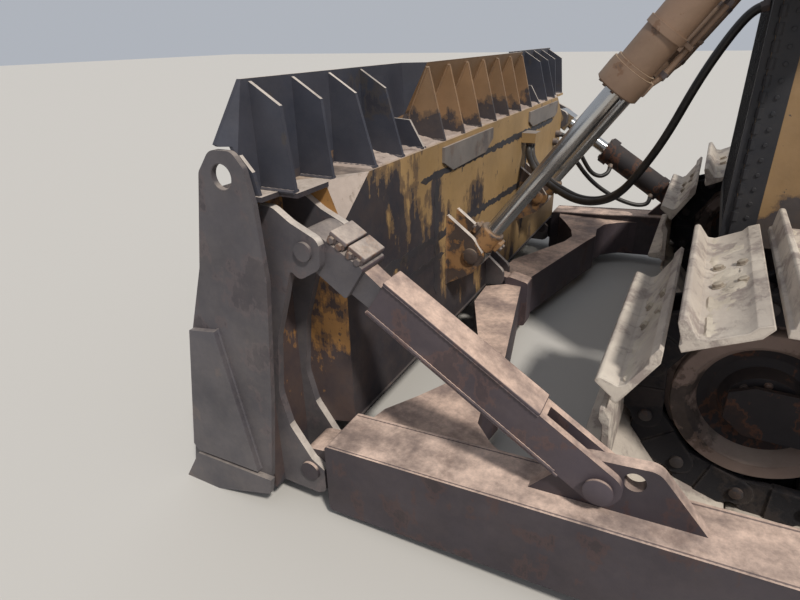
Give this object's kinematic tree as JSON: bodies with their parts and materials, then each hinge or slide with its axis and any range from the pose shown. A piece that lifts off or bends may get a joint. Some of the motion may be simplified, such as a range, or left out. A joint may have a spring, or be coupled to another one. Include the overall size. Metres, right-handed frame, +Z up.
{
  "type": "crawler bulldozer",
  "caption": "Wide-track crawler dozer: broad blade with a ribbed guard, push arms, brace and tilt cylinder, twin lift cylinders, enclosed cab with hinged doors",
  "frame": {"origin": "on the ground under the middle of the machine's box", "axes": "+X forward to the blade, +Y to the machine's left, +Z up"},
  "size_m": [5.94, 3.746, 3.235],
  "materials": {
    "ochre_paint": "ochre paint, worn and dusty",
    "dark_paint": "dark grey paint with dry dust",
    "grille_steel": "black paint on perforated steel",
    "core_metal": "fins, dull",
    "worn_steel": "scoured bright by soil",
    "track_steel": "steel under dry mud",
    "cast_steel": "brown steel with rust",
    "rod_chrome": "polished with a film of oil",
    "clear_glass": "dusty clear panes",
    "seat_cloth": "dark cloth",
    "inside_plastic": "dark moulded panels",
    "hose_rubber": "black hose rubber with dust",
    "lamp_plastic": "black housings with pale lenses"
  },
  "bodies": {
    "chassis": {"main_frame": "ochre_paint", "hood": "ochre_paint", "engine_panels": "ochre_paint", "cab_shell": "ochre_paint", "cab_roof": "ochre_paint", "fuel_tank": "ochre_paint", "battery_box": "ochre_paint", "hydraulic_tank": "ochre_paint", "lift_yokes": "ochre_paint", "track_frame_left": "ochre_paint", "track_frame_right": "ochre_paint", "radiator_guard": "dark_paint", "platform": "dark_paint", "engine_block": "dark_paint", "exhaust_stack": "dark_paint", "air_precleaner": "dark_paint", "drawbar": "dark_paint", "grille": "grille_steel", "radiator_core": "core_metal", "track_left": "track_steel", "track_right": "track_steel", "idler_left": "cast_steel", "idler_right": "cast_steel", "sprocket_left": "cast_steel", "sprocket_right": "cast_steel", "final_drive_left": "cast_steel", "final_drive_right": "cast_steel", "rollers_left": "cast_steel", "rollers_right": "cast_steel", "cab_glass": "clear_glass", "seat": "seat_cloth", "console": "inside_plastic", "blade_hoses": "hose_rubber", "lamps": "lamp_plastic"},
    "push_frame": {"push_arm_left": "ochre_paint", "push_arm_right": "ochre_paint", "diagonal_left": "ochre_paint", "diagonal_right": "ochre_paint", "centre_joint": "ochre_paint", "moldboard": "worn_steel", "blade_back": "ochre_paint", "blade_ends": "dark_paint", "blade_brackets": "ochre_paint", "blade_guard": "dark_paint", "guard_ribs": "dark_paint", "cutting_edge": "worn_steel", "brace": "ochre_paint", "tilt_barrel": "ochre_paint", "tilt_rod": "rod_chrome", "tilt_hoses": "hose_rubber"},
    "door_left": {"door_left": "ochre_paint", "door_glass_left": "clear_glass"},
    "lift_barrel_left": {"lift_barrel_left": "ochre_paint"},
    "lift_rod_left": {"lift_rod_left": "rod_chrome"},
    "door_right": {"door_right": "ochre_paint", "door_glass_right": "clear_glass"},
    "lift_barrel_right": {"lift_barrel_right": "ochre_paint"},
    "lift_rod_right": {"lift_rod_right": "rod_chrome"}
  },
  "joints": [
    {"name": "blade_lift", "type": "hinge", "parent": "chassis", "child": "push_frame", "pos_m": [-1.7, 0, 0.43], "axis": [0, -1, 0], "range_deg": [-5, 14], "deforming": ["blade_hoses"]},
    {"name": "lift_barrel_left", "type": "hinge", "parent": "chassis", "child": "lift_barrel_left", "pos_m": [1.18, 0.6, 2.072], "axis": [0, -1, 0], "range_deg": [-9, 23.5]},
    {"name": "lift_rod_left", "type": "slide", "parent": "lift_barrel_left", "child": "lift_rod_left", "axis": [0.5879, 0, -0.8089], "range_m": [-0.79, 0.29]},
    {"name": "lift_barrel_right", "type": "hinge", "parent": "chassis", "child": "lift_barrel_right", "pos_m": [1.18, -0.6, 2.072], "axis": [0, -1, 0], "range_deg": [-9, 23.5]},
    {"name": "lift_rod_right", "type": "slide", "parent": "lift_barrel_right", "child": "lift_rod_right", "axis": [0.5879, 0, -0.8089], "range_m": [-0.79, 0.29]},
    {"name": "door_left", "type": "hinge", "parent": "chassis", "child": "door_left", "pos_m": [-1.498, 0.792, 2], "axis": [0, 0, 1], "range_deg": [0, 100]},
    {"name": "door_right", "type": "hinge", "parent": "chassis", "child": "door_right", "pos_m": [-1.498, -0.792, 2], "axis": [0, 0, -1], "range_deg": [0, 100]}
  ],
  "couplings": [
    {"joint": "lift_barrel_left", "follows": "blade_lift", "ratio": 1.6},
    {"joint": "lift_rod_left", "follows": "blade_lift", "m_per_rad": -3.15},
    {"joint": "lift_barrel_right", "follows": "blade_lift", "ratio": 1.6},
    {"joint": "lift_rod_right", "follows": "blade_lift", "m_per_rad": -3.15}
  ]
}
